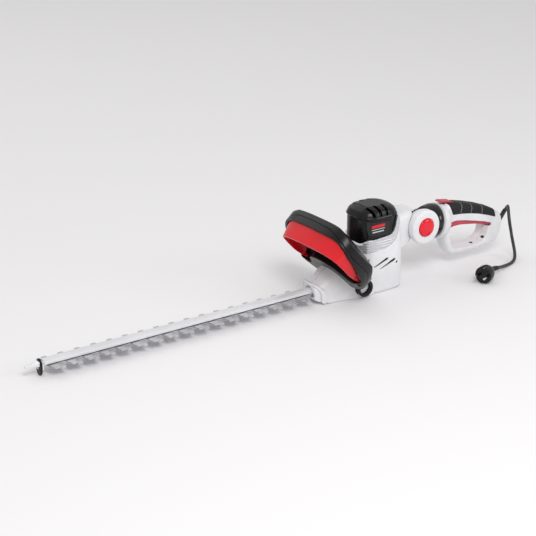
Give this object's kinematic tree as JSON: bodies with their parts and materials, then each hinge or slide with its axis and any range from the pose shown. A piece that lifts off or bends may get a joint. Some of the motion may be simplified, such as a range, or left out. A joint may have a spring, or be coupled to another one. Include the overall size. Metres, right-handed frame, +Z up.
{
  "type": "hedge trimmer",
  "caption": "Corded electric hedge trimmer with a long double-sided reciprocating blade, hooped front handle with switch bar, turning rear handle and mains lead.",
  "frame": {"origin": "centre of the sole plate's underside, on the surface that the tool stands on", "axes": "+X along the tool towards the rear handle (the blade points along -X), +Y to the right of a user behind the tool looking along the blade, +Z up"},
  "size_m": [1.1136, 0.2473, 0.1735],
  "materials": {
    "white_plastic": "satin moulded",
    "black_plastic": "satin moulded",
    "gloss_black": "gloss",
    "soft_black": "soft moulded",
    "red_plastic": "gloss",
    "dull_red": "satin moulded",
    "silver_paint": "silver lacquer",
    "extruded_aluminium": "satin anodised",
    "cast_aluminium": "as cast",
    "blade_steel": "ground",
    "bright_steel": "bright",
    "laminated_steel": "stacked sheets",
    "copper": "turned",
    "carbon": "matt",
    "grey_plastic": "satin moulded",
    "cord_rubber": "matt"
  },
  "bodies": {
    "body": {"housing_left": "white_plastic", "housing_right": "white_plastic", "silver_band": "silver_paint", "motor_cap": "black_plastic", "label_plate": "gloss_black", "sole_plate": "bright_steel", "sole_screw_1": "bright_steel", "sole_screw_2": "bright_steel", "sole_screw_3": "bright_steel", "sole_screw_4": "bright_steel", "gear_case_lower": "cast_aluminium", "gear_case_cover": "cast_aluminium", "motor_stator": "laminated_steel", "upper_bearing": "bright_steel", "lower_bearing": "bright_steel", "carbon_brush_left": "carbon", "carbon_brush_right": "carbon", "bar_cover": "extruded_aluminium", "blade_bolt_1": "bright_steel", "blade_bolt_2": "bright_steel", "blade_bolt_3": "bright_steel", "blade_bolt_4": "bright_steel", "tip_plate": "black_plastic", "tip_guard": "extruded_aluminium", "tip_screw": "bright_steel", "bail_front": "black_plastic", "bail_rear": "black_plastic", "bail_switch": "carbon"},
    "rotor": {"motor_shaft": "bright_steel", "armature_core": "laminated_steel", "commutator": "copper", "cooling_fan": "grey_plastic"},
    "crank": {"drive_gear": "bright_steel", "crank_shaft": "bright_steel", "upper_cam": "bright_steel", "lower_cam": "bright_steel"},
    "upper_blade": {"blade_upper": "blade_steel"},
    "lower_blade": {"blade_lower": "blade_steel"},
    "bar": {"switch_bar": "red_plastic"},
    "rear_carrier": {"swivel_collar": "gloss_black", "pivot_drum_left": "white_plastic", "pivot_drum_right": "white_plastic", "pivot_pin": "bright_steel", "lock_spring": "bright_steel"},
    "button": {"lock_button": "red_plastic"},
    "rear_handle": {"swivel_ring": "grey_plastic", "handle_left": "white_plastic", "handle_right": "white_plastic", "grip": "soft_black", "main_switch": "carbon", "strain_relief": "cord_rubber", "cord": "cord_rubber", "plug_body": "black_plastic", "plug_pin_1": "bright_steel", "plug_pin_2": "bright_steel"},
    "finger_trigger": {"trigger": "dull_red"},
    "slide_lock": {"lock_slide": "dull_red"}
  },
  "joints": [
    {"name": "crank_spin", "type": "hinge", "parent": "body", "child": "crank", "pos_m": [0.0075, 0, 0.03], "axis": [0, 0, 1], "continuous": true},
    {"name": "rotor_spin", "type": "hinge", "parent": "body", "child": "rotor", "pos_m": [0.046, 0, 0.1], "axis": [0, 0, 1], "continuous": true},
    {"name": "upper_blade_stroke", "type": "slide", "parent": "body", "child": "upper_blade", "axis": [1, 0, 0], "range_m": [-0.007, 0.007]},
    {"name": "lower_blade_stroke", "type": "slide", "parent": "body", "child": "lower_blade", "axis": [1, 0, 0], "range_m": [-0.007, 0.007]},
    {"name": "switch_bar_press", "type": "hinge", "parent": "body", "child": "bar", "pos_m": [-0.04939, 0, 0.05701], "axis": [0, 1, 0], "range_deg": [0, 4.5], "stiffness_Nm_per_rad": 8, "springref_deg": -4.58},
    {"name": "head_tilt", "type": "hinge", "parent": "body", "child": "rear_carrier", "pos_m": [0.147, 0, 0.114], "axis": [0, 1, 0], "range_deg": [-45, 45]},
    {"name": "lock_button_press", "type": "slide", "parent": "rear_carrier", "child": "button", "axis": [0, 1, 0], "range_m": [0, 0.006], "stiffness_N_per_m": 900, "springref_m": -0.002, "deforming": ["lock_spring"]},
    {"name": "handle_turn", "type": "hinge", "parent": "rear_carrier", "child": "rear_handle", "pos_m": [0.147, 0, 0.114], "axis": [0.9848, 0, -0.1736], "range_deg": [-90, 90]},
    {"name": "trigger_press", "type": "hinge", "parent": "rear_handle", "child": "finger_trigger", "pos_m": [0.35555, 0, 0.07012], "axis": [0, 1, 0], "range_deg": [0, 5], "stiffness_Nm_per_rad": 2, "springref_deg": -8.59},
    {"name": "lock_slide_push", "type": "slide", "parent": "rear_handle", "child": "slide_lock", "axis": [-0.9848, 0, 0.1736], "range_m": [0, 0.006], "stiffness_N_per_m": 500, "springref_m": -0.002}
  ],
  "couplings": [
    {"joint": "rotor_spin", "follows": "crank_spin", "ratio": -6},
    {"joint": "lower_blade_stroke", "follows": "upper_blade_stroke", "ratio": -1}
  ]
}
